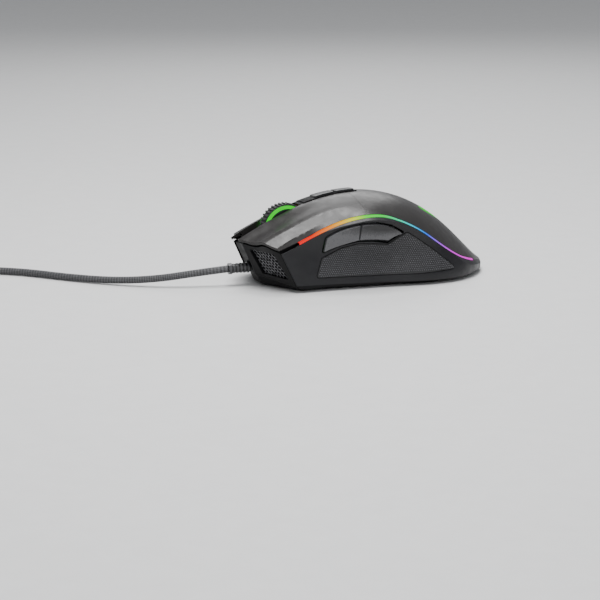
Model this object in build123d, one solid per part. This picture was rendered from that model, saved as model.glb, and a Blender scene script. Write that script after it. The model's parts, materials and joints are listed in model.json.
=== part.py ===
from build123d import *
import math
import os

# Full-size wired computer mouse for the right hand, in millimetres.
# Frame: +Z up, -Y towards the nose, +X towards the thumb side, origin under the middle of the
# footprint, on the surface that the feet rest on.

# ---------------------------------------------------------------- driving dimensions
NOSE_Y = -65.0            # front edge of the two main buttons
TAIL_Y = 64.6             # rearmost point of the palm
NOSE_HALF = 4.5           # half width of the flat at the very front
RAKE = 0.46               # how far the front face leans back per mm of height
RAKE_Z = 24.0             # height at which the front face reaches NOSE_Y
CORNER_Y = -53.6          # front corner between nose and side, at RAKE_Z
CORNER_X = 24.6
TILT = 0.06               # the thumb side stands higher: rise per mm across
BASE_Z = 0.8              # underside of the base, which is also the thickness of the feet
SHELL = 2.0               # wall of the side panels and palm shell
BUTTON_WALL = 1.5         # wall of the main buttons, measured upright
SEAM = 0.12               # gap between neighbouring covers
INLAY_GAP = 0.28          # gap round the rubber grips
STRIP_HALF = 0.48         # half height of the light strip
SLOT_HALF = 4.6           # half width of the wheel slot between the main buttons
SPINE_LIFT = 0.4          # how far the centre spine stands proud of the crown
KEY_LIFT = 1.1            # how far the sensitivity buttons stand proud of the crown
SPLIT_Y = -8.0            # seam between main buttons and palm shell, over the hinge
HINGE_Y = -6.0            # flexing line of the main buttons
BEZEL_DROP = 2.6          # top of the nose bezels below the crown
WHEEL_Y = -38.6
WHEEL_Z = 26.3
WHEEL_R = 12.4
BOARD_Z = 6.0             # underside of the main board
BOARD_T = 1.6
FRONT_BOARD_Z = 15.0      # underside of the raised board that carries the main switches
SWITCH_X = 15.0           # main micro switches, from the centre line
SWITCH_Y = -44.0
CORD_D = 3.5              # braided cable
EXIT_Z = 9.0              # height at which the cable leaves the nose

# Crown stations from nose to tail: y, height of the crown on the centre line, height of the
# shoulder line where crown meets side, width of the bright facet, slope of that facet.
STATIONS = [
    (-76.0, 17.6, 6.5, 4.4, 0.90),
    (-64.0, 24.1, 13.2, 4.4, 0.90),
    (-54.0, 29.2, 18.5, 4.4, 0.87),
    (-44.0, 33.7, 22.5, 4.3, 0.80),
    (-34.0, 37.5, 27.3, 4.2, 0.74),
    (-24.0, 40.3, 31.4, 3.0, 0.64),
    (-13.0, 42.1, 34.1, 0.8, None),
    (-2.0, 42.6, 34.5, 0.8, None),
    (9.0, 41.6, 31.3, 0.8, None),
    (20.0, 38.6, 25.5, 0.8, None),
    (31.0, 33.4, 17.8, 0.8, None),
    (42.0, 25.6, 11.4, 0.8, None),
    (52.0, 16.4, 7.9, 0.8, None),
    (61.0, 8.2, 5.2, 0.8, None),
    (72.0, -2.0, -4.0, 0.8, None),
]
FACET_X = 20.0            # upper edge of the facet, from the centre line
BAND_SLOPE = 2.4          # steepest fall of the band between facet and shoulder line
LAW = 2.1                 # exponent of the crown's curve across

# Half width of the body along its length at belt height, and how much the foot flares out.
BELT = [(-30.0, 27.2), (-14.0, 28.6), (2.0, 29.8), (18.0, 31.8), (32.0, 31.6), (45.0, 27.4), (56.0, 18.4)]
FLARE = {-2.0: -1.2, 4.0: 2.6, 14.0: 0.2, 26.0: 0.0, 46.0: 0.0}
SCOOP = {-2.0: 0.0, 4.0: -0.2, 14.0: -1.3, 26.0: -0.3, 46.0: 0.0}
TAIL_TUCK = {-2.0: -2.6, 4.0: 0.0, 14.0: 0.0, 26.0: 0.0, 46.0: 0.0}

LEFT = 1
RIGHT = -1


# ---------------------------------------------------------------- body surfaces
def tilt_at(y):
    """The sideways tilt fades out towards the tail."""
    return TILT * min(1.0, max(0.0, (62.0 - y) / 40.0))


def interpolate(pairs, y):
    """Straight-line interpolation in a list of (y, value) pairs."""
    for (y0, v0), (y1, v1) in zip(pairs, pairs[1:]):
        if y <= y1:
            return v0 + (v1 - v0) * (y - y0) / (y1 - y0)
    return pairs[-1][1]


def belt_half(y):
    """Half width of the body at belt height."""
    whole = [(2 * NOSE_Y, CORNER_X), (CORNER_Y, CORNER_X)] + BELT + [(62.0, 10.0), (TAIL_Y, 4.0)]
    return interpolate(whole, y)


def groove(x, y):
    """Depth of the shallow finger groove that runs back from the nose in each main button."""
    reach = abs(x) - 11.5
    if y > -12.0 or abs(reach) > 8.0:
        return 0.0
    return 2.3 * ((-12.0 - y) / 50.0) ** 1.3 * math.cos(math.pi * reach / 16.0) ** 2


def crown_section(y, height, shoulder, facet, slope):
    """One cross-section of the crown as a closed wire of eight edges."""
    half = max(belt_half(y), 9.0)
    tilt = tilt_at(y)
    facet_x = min(FACET_X, half * 0.82)
    if slope is None:
        depth = (height + tilt * half - shoulder) / (half / FACET_X) ** LAW
    else:
        depth = 5.0 - 0.67 * max(0.0, (y + 44.0) / 31.0)

    def law(x):
        return height + tilt * x - depth * (abs(x) / FACET_X) ** LAW

    def law_slope(x):
        side = 1 if x > 0 else -1
        return tilt - side * depth * LAW / FACET_X * (abs(x) / FACET_X) ** (LAW - 1)

    sides = {}
    for side in (LEFT, RIGHT):
        upper = (side * facet_x, law(side * facet_x))
        outer = side * (facet_x + facet)
        rim_z = shoulder + tilt * (side - 1) * half
        rim = (side * half, rim_z)
        if slope is None:
            lower = (outer, law(outer))
            middle_x = side * (facet_x + facet + half) / 2
            middle = (middle_x, law(middle_x))
            turn = law_slope(outer) * side
            out_slope = law_slope(side * half) * side
        else:
            lower = (outer, upper[1] - slope * facet + tilt * facet * (side - 1) / 2)
            band = max(half - abs(outer), (lower[1] - rim_z) / BAND_SLOPE, 1.5)
            rim = (outer + side * band, rim_z)
            middle = ((lower[0] + rim[0]) / 2, (lower[1] + rim[1]) / 2 + 0.1)
            turn = (rim[1] - lower[1]) / band * 0.92
            out_slope = turn * 1.1
        end = (rim[0] + side * 6.0, rim[1] + 6.0 * out_slope)
        sides[side] = (upper, lower, middle, rim, end, turn, out_slope)

    def place(point):
        return Vector(point[0], y, point[1])

    edges = []
    crown_x = [-facet_x, -0.8 * facet_x, -0.58 * facet_x, -0.3 * facet_x, 0.0]
    crown_x += [-value for value in reversed(crown_x[:-1])]
    crown = [place((x, law(x) - groove(x, y))) for x in crown_x]
    ends = [Vector(1, 0, law_slope(-facet_x)), Vector(1, 0, law_slope(facet_x))]
    crown_edge = Spline(crown, tangents=ends)
    bands = {}
    for side in (LEFT, RIGHT):
        upper, lower, middle, rim, end, turn, out_slope = sides[side]
        start_way = Vector(side, 0, turn)
        end_way = Vector(side, 0, out_slope)
        band = Spline([place(lower), place(middle), place(rim), place(end)], tangents=[start_way, end_way])
        bands[side] = (Line(place(upper), place(lower)), band, place(end))
    floor_left = Vector(bands[LEFT][2].X, y, -24)
    floor_right = Vector(bands[RIGHT][2].X, y, -24)
    edges += [crown_edge, bands[LEFT][0], bands[LEFT][1], Line(bands[LEFT][2], floor_left)]
    edges += [Line(floor_left, floor_right), Line(floor_right, bands[RIGHT][2])]
    edges += [bands[RIGHT][1], bands[RIGHT][0]]
    return Face(Wire(edges))


def make_crown():
    """Everything under the crown surface, open-ended to the sides, nose and tail."""
    return Solid.make_loft([crown_section(*row).outer_wire() for row in STATIONS])


def plan_section(z, inset):
    """The body's outline at one height, drawn inset by the given wall."""
    lean = RAKE * (RAKE_Z - z)
    nose = NOSE_Y + lean + inset * 1.1
    corner_x = CORNER_X + 0.14 * (RAKE_Z - z) * (1 if z < RAKE_Z else 0) - inset
    corner_y = CORNER_Y + lean + inset * 0.9
    tail = TAIL_Y + TAIL_TUCK[z] - inset
    flare = FLARE[z]
    runs = {}
    for side in (LEFT, RIGHT):
        sweep = [(NOSE_HALF, nose), (11.0, nose + 3.9), (20.0, nose + 7.8), (corner_x, corner_y)]
        flank = [(corner_x, corner_y)]
        for y, half in BELT:
            bulge = math.exp(-((y + 6.0) / 26.0) ** 2)
            scoop = SCOOP[z] * bulge * (1.0 if side == LEFT else 0.6)
            width = half + flare * (0.45 + 0.55 * math.exp(-((y - 26.0) / 24.0) ** 2)) + scoop - inset
            flank.append((width, y * (tail / TAIL_Y) if y > 0 else y))
        flank.append((0.0, tail))
        runs[side] = (sweep, flank)

    def place(points, side):
        return [Vector(side * x, y, z) for x, y in points]

    edges = [Line(Vector(-NOSE_HALF, nose, z), Vector(NOSE_HALF, nose, z))]
    edges.append(Spline(place(runs[LEFT][0], LEFT)))
    flank_way = [Vector(0.12, 1, 0), Vector(-1, 0, 0)]
    edges.append(Spline(place(runs[LEFT][1], LEFT), tangents=flank_way))
    back = list(reversed(place(runs[RIGHT][1], RIGHT)))
    edges.append(Spline(back, tangents=[Vector(-1, 0, 0), Vector(0.12, -1, 0)]))
    edges.append(Spline(list(reversed(place(runs[RIGHT][0], RIGHT)))))
    return Face(Wire(edges))


def make_plan(inset=0.0):
    """Everything inside the side walls, from below the base to above the crown."""
    return Solid.make_loft([plan_section(z, inset).outer_wire() for z in FLARE])


# ---------------------------------------------------------------- cutting tools
def block(x0, x1, y0, y1, z0, z1):
    """Axis-aligned box between two corners."""
    return Pos((x0 + x1) / 2, (y0 + y1) / 2, (z0 + z1) / 2) * Box(x1 - x0, y1 - y0, z1 - z0)


def rod(start, end, radius):
    """Round bar between two points."""
    way = Vector(end) - Vector(start)
    return extrude(Plane(origin=start, z_dir=way) * Circle(radius), amount=way.length)


def shoulder_height(side, y, shoulder):
    """Height of the shoulder line; the far side lies lower because of the tilt."""
    return shoulder + tilt_at(y) * (side - 1) * max(belt_half(y), 9.0)


def strip_half(y):
    """The light strip narrows towards the tail."""
    return STRIP_HALF * (1.0 - 0.3 * (y + 42.0) / 94.0)


def side_region(side, low=None, high=None):
    """One half of space between two curves that follow the shoulder line along the body."""
    def curve(offset, fallback):
        if offset is None:
            return [Vector(0, STATIONS[0][0], fallback), Vector(0, STATIONS[-1][0], fallback)]
        return [Vector(0, row[0], shoulder_height(side, row[0], row[2]) + offset(row[0])) for row in STATIONS]

    def edge(points):
        return Line(*points) if len(points) == 2 else Spline(points)

    bottom = curve(low, -30.0)
    top = curve(high, 80.0)
    wire = Wire([edge(bottom), Line(bottom[-1], top[-1]), edge(top), Line(top[0], bottom[0])])
    return extrude(Face(wire), amount=60, dir=(side, 0, 0))


def corner_y(z):
    """The straight front corner of the body, seen from the side."""
    return CORNER_Y + RAKE * (RAKE_Z - z)


def base_line(y):
    """Lower edge of the side panels: it sinks from nose to tail."""
    return 3.6 - 2.2 * (y + 46.0) / 110.0


def side_prism(side, points, inner=0.0):
    """Polygon in the side view, carried outwards from the centre plane."""
    corners = [Vector(side * inner, y, z) for y, z in points]
    return extrude(Face(Wire.make_polygon(corners)), amount=60, dir=(side, 0, 0))


def rounded_outline(points, radius):
    """Closed outline in the side view with every corner rounded."""
    sketch = make_face(Polyline(*points, close=True))
    return fillet(sketch.vertices(), radius)


def side_cut(side, sketch):
    """Carries a side-view sketch outwards from the centre plane."""
    solid = extrude(Plane.YZ * sketch, amount=60)
    return solid if side == LEFT else mirror(solid, about=Plane.YZ)


# ---------------------------------------------------------------- covers
def grip_outline(side):
    """Rubber grip in the side view; the thumb side rises behind the thumb buttons."""
    if side == LEFT:
        points = [(-34.2, 7.0), (-30.9, 15.6), (-21.0, 19.9), (-12.5, 21.4), (2.8, 20.2), (11.7, 25.9)]
        points += [(17.5, 22.2), (25.0, 16.8), (37.2, 7.0), (16.0, 6.1), (-10.0, 6.4)]
    else:
        points = [(-36.3, 7.0), (-33.5, 14.0), (-20.0, 19.4), (-6.0, 21.6), (8.0, 20.6), (20.0, 15.4)]
        points += [(37.0, 6.4), (16.0, 5.6), (-10.0, 6.0)]
    return rounded_outline(points, 0.8)


THUMB_TOP = [(-28.8, 25.3), (-21.5, 29.1), (-12.5, 31.2), (-4.5, 31.4), (3.0, 29.6), (9.4, 26.0)]
THUMB_BOTTOM = [(2.6, 21.5), (-5.0, 22.7), (-12.5, 23.1), (-21.5, 21.6), (-30.0, 18.9)]
THUMB_SPLIT = -12.5


def thumb_face(points_top, points_bottom, x, shrink, raise_bottom):
    """Outline of one thumb button at distance x, drawn in at the top and raised at the bottom."""
    top = [Vector(x, y, z - shrink) for y, z in points_top]
    bottom = [Vector(x, y, z + raise_bottom) for y, z in points_bottom]
    top[0] += Vector(0, shrink, 0)
    bottom[-1] += Vector(0, shrink, 0)
    top[-1] -= Vector(0, shrink, 0)
    bottom[0] -= Vector(0, shrink, 0)
    edges = [Spline(top), Line(top[-1], bottom[0]), Spline(bottom), Line(bottom[-1], top[0])]
    return Face(Wire(edges))


def thumb_blank(front):
    """Tapering block of one thumb button, from inside the wall out past its face."""
    gap = SEAM * 1.5
    if front:
        top = THUMB_TOP[:2] + [(THUMB_SPLIT - gap, 31.15)]
        bottom = [(THUMB_SPLIT - gap, 23.1)] + THUMB_BOTTOM[3:]
    else:
        top = [(THUMB_SPLIT + gap, 31.2)] + THUMB_TOP[3:]
        bottom = THUMB_BOTTOM[:2] + [(THUMB_SPLIT + gap, 23.1)]
    inner = thumb_face(top, bottom, 26.0, 0.0, 0.0)
    rim = thumb_face(top, bottom, 28.4, 0.0, 0.0)
    outer = thumb_face(top, bottom, 33.4, 0.9, 3.6)
    base = Solid.make_loft([inner.outer_wire(), rim.outer_wire()], ruled=True)
    cap = Solid.make_loft([rim.outer_wire(), outer.outer_wire()], ruled=True)
    return base + cap


def thumb_window():
    """Opening in the side panel around both thumb buttons."""
    sketch = make_face(Polyline(*(THUMB_TOP + THUMB_BOTTOM), close=True))
    return side_cut(LEFT, offset(sketch, amount=0.65, kind=Kind.ARC))


class Body:
    """The shared surfaces that every cover is cut from."""

    def __init__(self):
        self.crown = make_crown()
        self.plan = {inset: make_plan(inset) for inset in (-1.3, -0.25, 0.0, 0.4, 1.25, 1.8, SHELL, 3.2)}
        self.outer = self.crown & self.plan[0.0]
        self.inner = self.crown_at(-SHELL * 1.2) & self.plan[SHELL]
        self.shell = self.outer - self.inner

    def crown_at(self, lift):
        """The crown moved up or down."""
        return Pos(0, 0, lift) * self.crown

    def strip_slot(self, side, extra):
        """Channel between crown covers and side panel in which the light strip lies."""
        return side_region(side, lambda y: -strip_half(y) - extra, lambda y: strip_half(y) + extra)


def solid_of(shape):
    """The one solid in a shape, or the largest when a cut leaves crumbs."""
    return max(shape.solids(), key=lambda item: item.volume)


def side_panel(body, side):
    """Lower side cover from the front corner round to the middle of the tail."""
    reach = side_prism(side, [(corner_y(60) + SEAM / 2, 60), (corner_y(3.6) + SEAM / 2, base_line(-46.0)),
                              (TAIL_Y + 20, base_line(TAIL_Y + 20)), (TAIL_Y + 20, 60)], SEAM / 2)
    panel = body.shell & side_region(side, None, lambda y: -SEAM / 2) & reach
    slot = body.strip_slot(side, SEAM) - block(-60, 60, 52.4, 90, -30, 80)
    panel -= slot
    grip = side_cut(side, offset(grip_outline(side), amount=INLAY_GAP))
    panel -= grip - body.plan[1.25]
    if side == LEFT:
        panel -= thumb_window()
    return solid_of(panel)


def side_grip(body, side):
    """Rubber grip let into the side panel, standing a little proud."""
    return solid_of((body.plan[-0.25] - body.plan[1.25]) & side_cut(side, grip_outline(side)))


def light_strip(body, side):
    """Light guide along the shoulder line."""
    reach = block(-60, 60, -42.2, 52.2, -30, 80)
    return solid_of(body.shell & body.strip_slot(side, 0.0) & reach)


def thumb_button(body, front):
    """Side button with its stem that reaches in to its switch."""
    cap = thumb_blank(front) & (body.plan[-1.3] - body.plan[1.8])
    y = -21.5 if front else -3.0
    stem = block(THUMB_SWITCH_FACE + 0.08, 29.0, y - 2.0, y + 2.0, 24.2, 27.6)
    return solid_of(cap + (stem & body.plan[0.4]))


def main_button(body, side):
    """Main button: crown cover from the seam over the hinge to the nose, with its switch post."""
    def low(y):
        return strip_half(y) + 0.14 + 0.0165 * abs(y - HINGE_Y)

    region = side_region(side, low, None) & block(-60, 60, -80, SPLIT_Y - SEAM / 2, -30, 80)
    skin = (body.outer - body.crown_at(-BUTTON_WALL)) & region
    wall_in, wall_out = sorted((side * SLOT_HALF, side * (SLOT_HALF + 1.4)))
    lip = (body.outer - body.crown_at(-3.6)) & block(wall_in, wall_out, -58.6, -34.6, -30, 80)
    skin -= block(-SLOT_HALF, SLOT_HALF, -80, 80, -30, 80)
    post = block(side * SWITCH_X - 2, side * SWITCH_X + 2, SWITCH_Y - 1.5, SWITCH_Y + 1.5, PLUNGER_TOP + 0.08, 60)
    post &= body.crown_at(-0.8)
    return solid_of(skin + lip + post)


def palm_shell(body):
    """Palm cover behind the main buttons, with four screw bosses."""
    back = body.shell - block(-60, 60, -90, SPLIT_Y + SEAM / 2, -30, 80)
    halves = []
    for side in (LEFT, RIGHT):
        half = back & side_region(side, lambda y: SEAM / 2)
        halves.append(half - (body.strip_slot(side, SEAM) - block(-60, 60, 52.4, 90, -30, 80)))
    top = halves[0] + halves[1]
    top -= block(-4.4 - SEAM, 4.4 + SEAM, -40, -2.4, 20, 80)
    top -= emblem_cutter(SEAM)
    for x, y in PALM_BOSSES:
        boss = Pos(x, y, 24.5) * Cylinder(2.6, 31) - Pos(x, y, 10) * Cylinder(1.0, 10)
        top += boss & body.crown_at(-0.9) & body.plan[SHELL]
    return solid_of(top)


PALM_BOSSES = [(-22.0, 8.0), (22.0, 8.0), (-14.0, 44.0), (14.0, 44.0)]
EMBLEM_Y = 29.5
EMBLEM_R = 11.0
EMBLEM_W = 4.0


def emblem_cutter(extra):
    """Plain arch-shaped window in the palm shell, with its feet towards the nose."""
    arch = SlotArc(CenterArc((0, EMBLEM_Y), EMBLEM_R, 0, 180), EMBLEM_W + 2 * extra)
    return extrude(Pos(0, 0, 10) * arch, amount=60)


def emblem_lens(body):
    """Translucent window that the palm light shines through."""
    return solid_of((body.crown & emblem_cutter(0.0)) - body.crown_at(-SHELL * 1.2))


def dpi_window(y0, y1, extra):
    """Rounded opening in the spine around one sensitivity button."""
    sketch = RectangleRounded(6.8 + 2 * extra, y1 - y0 + 2 * extra, 1.0)
    return extrude(Pos(0, (y0 + y1) / 2, 20) * sketch, amount=60)


DPI_SPANS = {"dpi_up_button": (-24.2, -14.0), "dpi_down_button": (-13.2, -3.4)}


def centre_spine(body):
    """Glossy bar between the main buttons, behind the wheel."""
    spine = body.crown_at(SPINE_LIFT) & block(-4.4, 4.4, -30.4, -2.5, 30, 80)
    spine += body.crown & block(-4.4, 4.4, -34.4, -30.3, 30, 80)
    spine -= body.crown_at(-2.2)
    spine -= wheel_axis(20, WHEEL_R + 0.7)
    for y0, y1 in DPI_SPANS.values():
        spine -= dpi_window(y0, y1, 0.15)
    for y0, y1 in ((-25.8, -24.9), (-3.1, -2.6)):
        spine += block(-4.0, 4.0, y0, y1, TOP_BOARD_Z + 1.2, 60) & body.crown_at(-1.0)
    return solid_of(spine)


def dpi_button(body, span):
    """Sensitivity button with its stem."""
    y0, y1 = span
    key = (body.crown_at(KEY_LIFT) & dpi_window(y0, y1, 0.0)) - body.crown_at(-1.4)
    middle = (y0 + y1) / 2
    stem = block(-1.2, 1.2, middle - 1.2, middle + 1.2, DPI_PLUNGER_TOP + 0.06, 60) & body.crown_at(-0.7)
    return solid_of(key + stem)


# ---------------------------------------------------------------- nose
def bezel_bottom(x):
    """Lower edge of the nose bezels in the front view."""
    return 7.0 - 0.15 * abs(x)


def front_prism(points):
    """Polygon in the front view, carried from ahead of the nose to behind the corner."""
    corners = [Vector(x, -90, z) for x, z in points]
    return extrude(Face(Wire.make_polygon(corners)), amount=60, dir=(0, 1, 0))


def grille_outline(side, extra):
    """Mesh opening in a bezel, in the front view."""
    points = [(8.0, 19.4), (21.7, 18.8), (24.3, 6.4), (9.5, 7.5)]
    sketch = make_face(Polyline(*[(side * x, z) for x, z in points], close=True))
    sketch = offset(fillet(sketch.vertices(), 0.7), amount=extra) if extra else fillet(sketch.vertices(), 0.7)
    return extrude(Plane(origin=(0, -90, 0), x_dir=(1, 0, 0), z_dir=(0, -1, 0)) * sketch, amount=-60)


def front_zone(side, inner):
    """The space ahead of the corner line, from a distance off centre outwards."""
    x0, x1 = sorted((side * inner, side * 40.0))
    ahead = side_prism(side, [(-90, 60), (-90, -20), (corner_y(-20) - SEAM / 2, -20),
                              (corner_y(60) - SEAM / 2, 60)])
    low = front_prism([(-40, bezel_bottom(40)), (0, bezel_bottom(0)), (40, bezel_bottom(40)), (40, 60), (-40, 60)])
    return block(x0, x1, -90, -20, -20, 60) & ahead & low


def bezel(body, side):
    """Glossy frame at the nose with a sunk opening for the mesh."""
    frame = (body.plan[0.0] & front_zone(side, 5.6)) - body.plan[1.8] - grille_outline(side, 0.0)
    return solid_of(frame & body.crown_at(-BEZEL_DROP))


def grille(body, side):
    """Mesh panel behind the bezel's opening."""
    panel = (body.plan[1.8] & front_zone(side, 6.6) & grille_outline(side, 1.0)) - body.plan[3.2]
    return solid_of(panel & body.crown_at(-BEZEL_DROP))


def nose_panel(body):
    """Sunk panel between the bezels, with the hole for the strain relief."""
    low = bezel_bottom(5.4)
    zone = front_prism([(-5.4, low), (0, bezel_bottom(0)), (5.4, low), (5.4, 60), (-5.4, 60)])
    zone &= block(-6, 6, -90, -40, 0, 60)
    panel = (body.plan[1.25] & zone) - body.plan[3.2]
    panel &= body.crown_at(-BEZEL_DROP - 1.2)
    return solid_of(panel - rod((0, -70, EXIT_Z), (0, -40, EXIT_Z), 2.95))


# ---------------------------------------------------------------- base
SENSOR_Y = 2.0
BOARD_POSTS = [(-17.0, -12.0), (17.0, -12.0), (-17.0, 34.0), (17.0, 34.0)]
FLOOR_TOP = 2.8


def base_plate(body):
    """Tray that carries everything: floor, rim, board posts and sensor opening."""
    corner = corner_y(3.6)
    step = bezel_bottom(28) - SEAM
    rim = side_prism(LEFT, [(-90, -20), (TAIL_Y + 20, -20), (TAIL_Y + 20, base_line(TAIL_Y + 20) - SEAM),
                            (corner, base_line(corner) - SEAM), (corner, step), (-90, step)])
    rim += mirror(rim, about=Plane.YZ)
    front = front_prism([(-26, 0), (26, 0), (26, bezel_bottom(26) - SEAM), (0, bezel_bottom(0) - SEAM),
                         (-26, bezel_bottom(26) - SEAM)])
    front &= block(-40, 40, -90, corner_y(3.6) - 0.2, -20, 60)
    above = block(-60, 60, -90, 90, BASE_Z + 0.9, 60)
    shape = body.plan[1.8] & (rim + front) & above
    shape += body.plan[SHELL + 1.2] & block(-60, 60, -90, 90, BASE_Z, FLOOR_TOP)
    shape -= body.plan[SHELL + 1.2] & block(-60, 60, -90, 90, FLOOR_TOP, 60)
    for x, y in BOARD_POSTS:
        shape += Pos(x, y, (FLOOR_TOP + BOARD_Z - 0.2) / 2) * Cylinder(2.2, BOARD_Z - FLOOR_TOP + 0.2)
        shape -= Pos(x, y, BOARD_Z) * Cylinder(1.0, 5.0)
    for x, y in PALM_BOSSES:
        shape -= Pos(x, y, BASE_Z) * Cylinder(2.3, 2.0)
        shape -= Pos(x, y, BASE_Z + 1.0) * Cylinder(1.1, 5.0)
    shape -= extrude(Pos(0, SENSOR_Y, BASE_Z - 1) * RectangleRounded(9.0, 7.0, 2.0), amount=5)
    for rail in (-1, 1):
        shape += block(rail * 9.0 - 0.8, rail * 9.0 + 0.8, -48.0, -27.0, FLOOR_TOP - 0.2, 8.0)
    return solid_of(shape)


def feet():
    """Low-friction glide feet: a front and a rear pad, and a ring round the sensor."""
    front = extrude(Pos(0, -38.5, 0) * SlotOverall(34.0, 7.5), amount=BASE_Z)
    rear = extrude(Pos(0, 50.5, 0) * SlotOverall(32.0, 7.5), amount=BASE_Z)
    ring = extrude(Pos(0, SENSOR_Y, 0) * (Circle(10.5) - Circle(7.2)), amount=BASE_Z)
    return {"glide_feet": Compound([solid_of(front), solid_of(rear)]), "sensor_foot_ring": ring}


def case_screws():
    """Four screws from below into the palm shell's bosses."""
    screws = []
    for x, y in PALM_BOSSES:
        head = Pos(x, y, BASE_Z + 0.5) * Cylinder(2.1, 1.0)
        shank = Pos(x, y, BASE_Z + 6.5) * Cylinder(0.95, 11.5)
        screws.append(solid_of(head + shank))
    return Compound(screws)


# ---------------------------------------------------------------- electronics
SWITCH_H = 6.5
PLUNGER_TOP = FRONT_BOARD_Z + BOARD_T + SWITCH_H + 1.2
TOP_BOARD_Z = 33.2
DPI_PLUNGER_TOP = TOP_BOARD_Z + 1.2 + 3.8
THUMB_BOARD_X = 19.6
THUMB_SWITCH_FACE = THUMB_BOARD_X + 1.2 + 4.2
CLICK_Y = -12.0


def main_board():
    """Main circuit board on the base posts, with its sensor window."""
    board = extrude(Pos(0, 12.0, BOARD_Z) * RectangleRounded(38.0, 56.0, 3.0), amount=BOARD_T)
    for x, y in BOARD_POSTS:
        board -= Pos(x, y, BOARD_Z) * Cylinder(1.1, 6)
    board -= block(-4.0, 4.0, SENSOR_Y - 4.0, SENSOR_Y + 4.0, 0, 20)
    return solid_of(board)


def board_screws():
    """Four screws that hold the main board down."""
    screws = []
    for x, y in BOARD_POSTS:
        head = Pos(x, y, BOARD_Z + BOARD_T + 0.6) * Cylinder(1.9, 1.2)
        shank = Pos(x, y, BOARD_Z) * Cylinder(0.9, 3.4)
        screws.append(solid_of(head + shank))
    return Compound(screws)


def front_board():
    """Raised board around the wheel that carries the two main switches."""
    board = block(-18.5, 18.5, -49.0, -34.0, FRONT_BOARD_Z, FRONT_BOARD_Z + BOARD_T)
    board -= block(-12.4, 9.4, -60.0, -30.0, 0, 40)
    arms = block(-18.5, 18.5, -34.1, -13.0, FRONT_BOARD_Z, FRONT_BOARD_Z + BOARD_T)
    arms -= block(-12.4, 9.4, -40.0, -17.0, 0, 40)
    return solid_of(board + arms)


def light_shield():
    """Upright wall on the front board that keeps the wheel's light off the gap under the thumb-side button."""
    z = FRONT_BOARD_Z + BOARD_T
    return block(10.2, 10.8, -48.5, -31.0, z, z + 9.9)


def micro_switch(side):
    """Body of a main micro switch, with the hole for its plunger."""
    z = FRONT_BOARD_Z + BOARD_T
    x = side * SWITCH_X
    body = block(x - 2.9, x + 2.9, SWITCH_Y - 6.2, SWITCH_Y + 6.2, z, z + SWITCH_H)
    body = fillet(body.edges().filter_by(Axis.Z), 0.6)
    return body - block(x - 1.0, x + 1.0, SWITCH_Y - 0.8, SWITCH_Y + 0.8, z + 3.0, z + 20)


def switch_plunger(side):
    """Moving plunger of a main micro switch."""
    x = side * SWITCH_X
    return block(x - 0.9, x + 0.9, SWITCH_Y - 0.7, SWITCH_Y + 0.7, PLUNGER_TOP - 3.2, PLUNGER_TOP)


def thumb_board():
    """Upright board behind the thumb buttons."""
    return block(THUMB_BOARD_X, THUMB_BOARD_X + 1.2, -27.0, 2.5, 10.5, 29.5)


THUMB_SWITCHES = {"front_thumb": -21.5, "rear_thumb": -3.0}


def thumb_switch(y):
    """Tact switch body behind a thumb button."""
    x = THUMB_BOARD_X + 1.2
    body = block(x, x + 3.2, y - 3.0, y + 3.0, 22.9, 28.9)
    return body - rod((x + 1.0, y, 25.9), (x + 9.0, y, 25.9), 1.35)


def thumb_plunger(y):
    """Moving plunger of a thumb switch."""
    return rod((THUMB_SWITCH_FACE - 2.0, y, 25.9), (THUMB_SWITCH_FACE, y, 25.9), 1.25)


def top_board():
    """Small board under the spine for the sensitivity switches."""
    return block(-5.6, 5.6, -26.6, -1.6, TOP_BOARD_Z, TOP_BOARD_Z + 1.2)


def dpi_switch(span):
    """Tact switch body under a sensitivity button."""
    y = (span[0] + span[1]) / 2
    z = TOP_BOARD_Z + 1.2
    body = block(-3.0, 3.0, y - 3.0, y + 3.0, z, z + 2.8)
    return body - Pos(0, y, z + 5.8) * Cylinder(1.35, 10.0)


def dpi_plunger(span):
    """Moving plunger of a sensitivity switch."""
    y = (span[0] + span[1]) / 2
    return Pos(0, y, DPI_PLUNGER_TOP - 1.0) * Cylinder(1.25, 2.0)


def click_switch():
    """Switch under the wheel carrier's tail."""
    z = BOARD_Z + BOARD_T
    body = block(-3.0, 3.0, CLICK_Y - 3.0, CLICK_Y + 3.0, z, z + 3.4)
    return body - Pos(0, CLICK_Y, z + 6.4) * Cylinder(1.35, 10.0)


def click_plunger():
    """Moving plunger of the wheel's click switch."""
    return Pos(0, CLICK_Y, BOARD_Z + BOARD_T + 3.3) * Cylinder(1.25, 1.8)


def sensor_parts():
    """Optical sensor on the board and the lens under it."""
    z = BOARD_Z + BOARD_T
    chip = block(-6.0, 6.0, SENSOR_Y - 5.0, SENSOR_Y + 5.0, z, z + 2.6)
    lens = extrude(Pos(0, SENSOR_Y, FLOOR_TOP) * RectangleRounded(15.0, 17.0, 2.0), amount=1.4)
    lens += Pos(0, SENSOR_Y, (BASE_Z + FLOOR_TOP) / 2 + 0.3) * Cylinder(3.2, FLOOR_TOP - BASE_Z)
    return {"optical_sensor": chip, "sensor_lens": solid_of(lens)}


def board_chips():
    """Controller, cable connector and palm light on the main board."""
    z = BOARD_Z + BOARD_T
    chip = block(-5.0, 5.0, 14.0, 24.0, z, z + 1.2)
    connector = block(8.0, 18.0, -9.0, -4.0, z, z + 4.5)
    light = block(-2.5, 2.5, EMBLEM_Y + 5.2, EMBLEM_Y + 10.2, z, z + 1.6)
    return {"controller_chip": chip, "cable_connector": connector, "palm_light": light}


# ---------------------------------------------------------------- wheel
WHEEL_HALF = 2.7
RING_HALF = 3.5
RIBS = 40
PIVOT_Z = 14.6
CRADLE_Y0 = -49.4
CRADLE_Y1 = -25.8


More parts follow.
